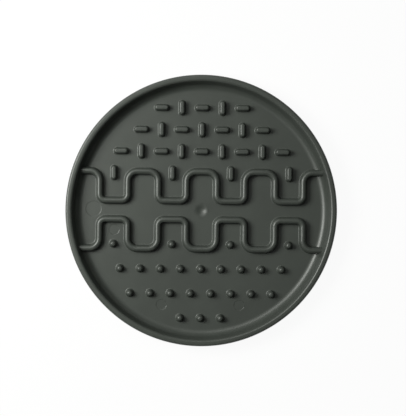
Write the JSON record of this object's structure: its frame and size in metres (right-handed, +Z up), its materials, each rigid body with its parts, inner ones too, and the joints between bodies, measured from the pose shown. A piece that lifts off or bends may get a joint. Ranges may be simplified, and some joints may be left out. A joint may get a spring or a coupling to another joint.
{
  "type": "lick bowl insert",
  "caption": "Shallow round plastic dish with a rounded rim, square-wave ribs, short bars and round studs on its floor, laid in a bowl so that a pet licks spread food slowly.",
  "frame": {"origin": "middle of the standing ring's bottom, where the dish's axis meets the table", "axes": "+Z up along the dish's axis, +Y towards the bars, +X to the right with the bars at the far side"},
  "size_m": [0.16, 0.16, 0.0121],
  "materials": {
    "moulding": "satin, fine moulded grain"
  },
  "bodies": {
    "root": {"bar_a1": "moulding", "bar_a2": "moulding", "bar_a3": "moulding", "bar_a4": "moulding", "bar_a5": "moulding", "bar_b1": "moulding", "bar_b2": "moulding", "bar_b3": "moulding", "bar_b4": "moulding", "bar_b5": "moulding", "bar_b6": "moulding", "bar_b7": "moulding", "bar_c1": "moulding", "bar_c2": "moulding", "bar_c3": "moulding", "bar_c4": "moulding", "bar_c5": "moulding", "bar_c6": "moulding", "bar_c7": "moulding", "bar_c8": "moulding", "bar_c9": "moulding", "floor_plate": "moulding", "lower_wave_rib": "moulding", "pocket_bar_1": "moulding", "pocket_bar_2": "moulding", "pocket_bar_3": "moulding", "pocket_bar_4": "moulding", "pocket_stud_1": "moulding", "pocket_stud_2": "moulding", "pocket_stud_3": "moulding", "pocket_stud_4": "moulding", "rim_bead": "moulding", "side_wall": "moulding", "stud_a1": "moulding", "stud_a2": "moulding", "stud_a3": "moulding", "stud_a4": "moulding", "stud_a5": "moulding", "stud_a6": "moulding", "stud_a7": "moulding", "stud_a8": "moulding", "stud_a9": "moulding", "stud_b1": "moulding", "stud_b2": "moulding", "stud_b3": "moulding", "stud_b4": "moulding", "stud_b5": "moulding", "stud_b6": "moulding", "stud_b7": "moulding", "stud_b8": "moulding", "stud_c1": "moulding", "stud_c2": "moulding", "stud_c3": "moulding", "upper_wave_rib": "moulding"}
  },
  "joints": []
}
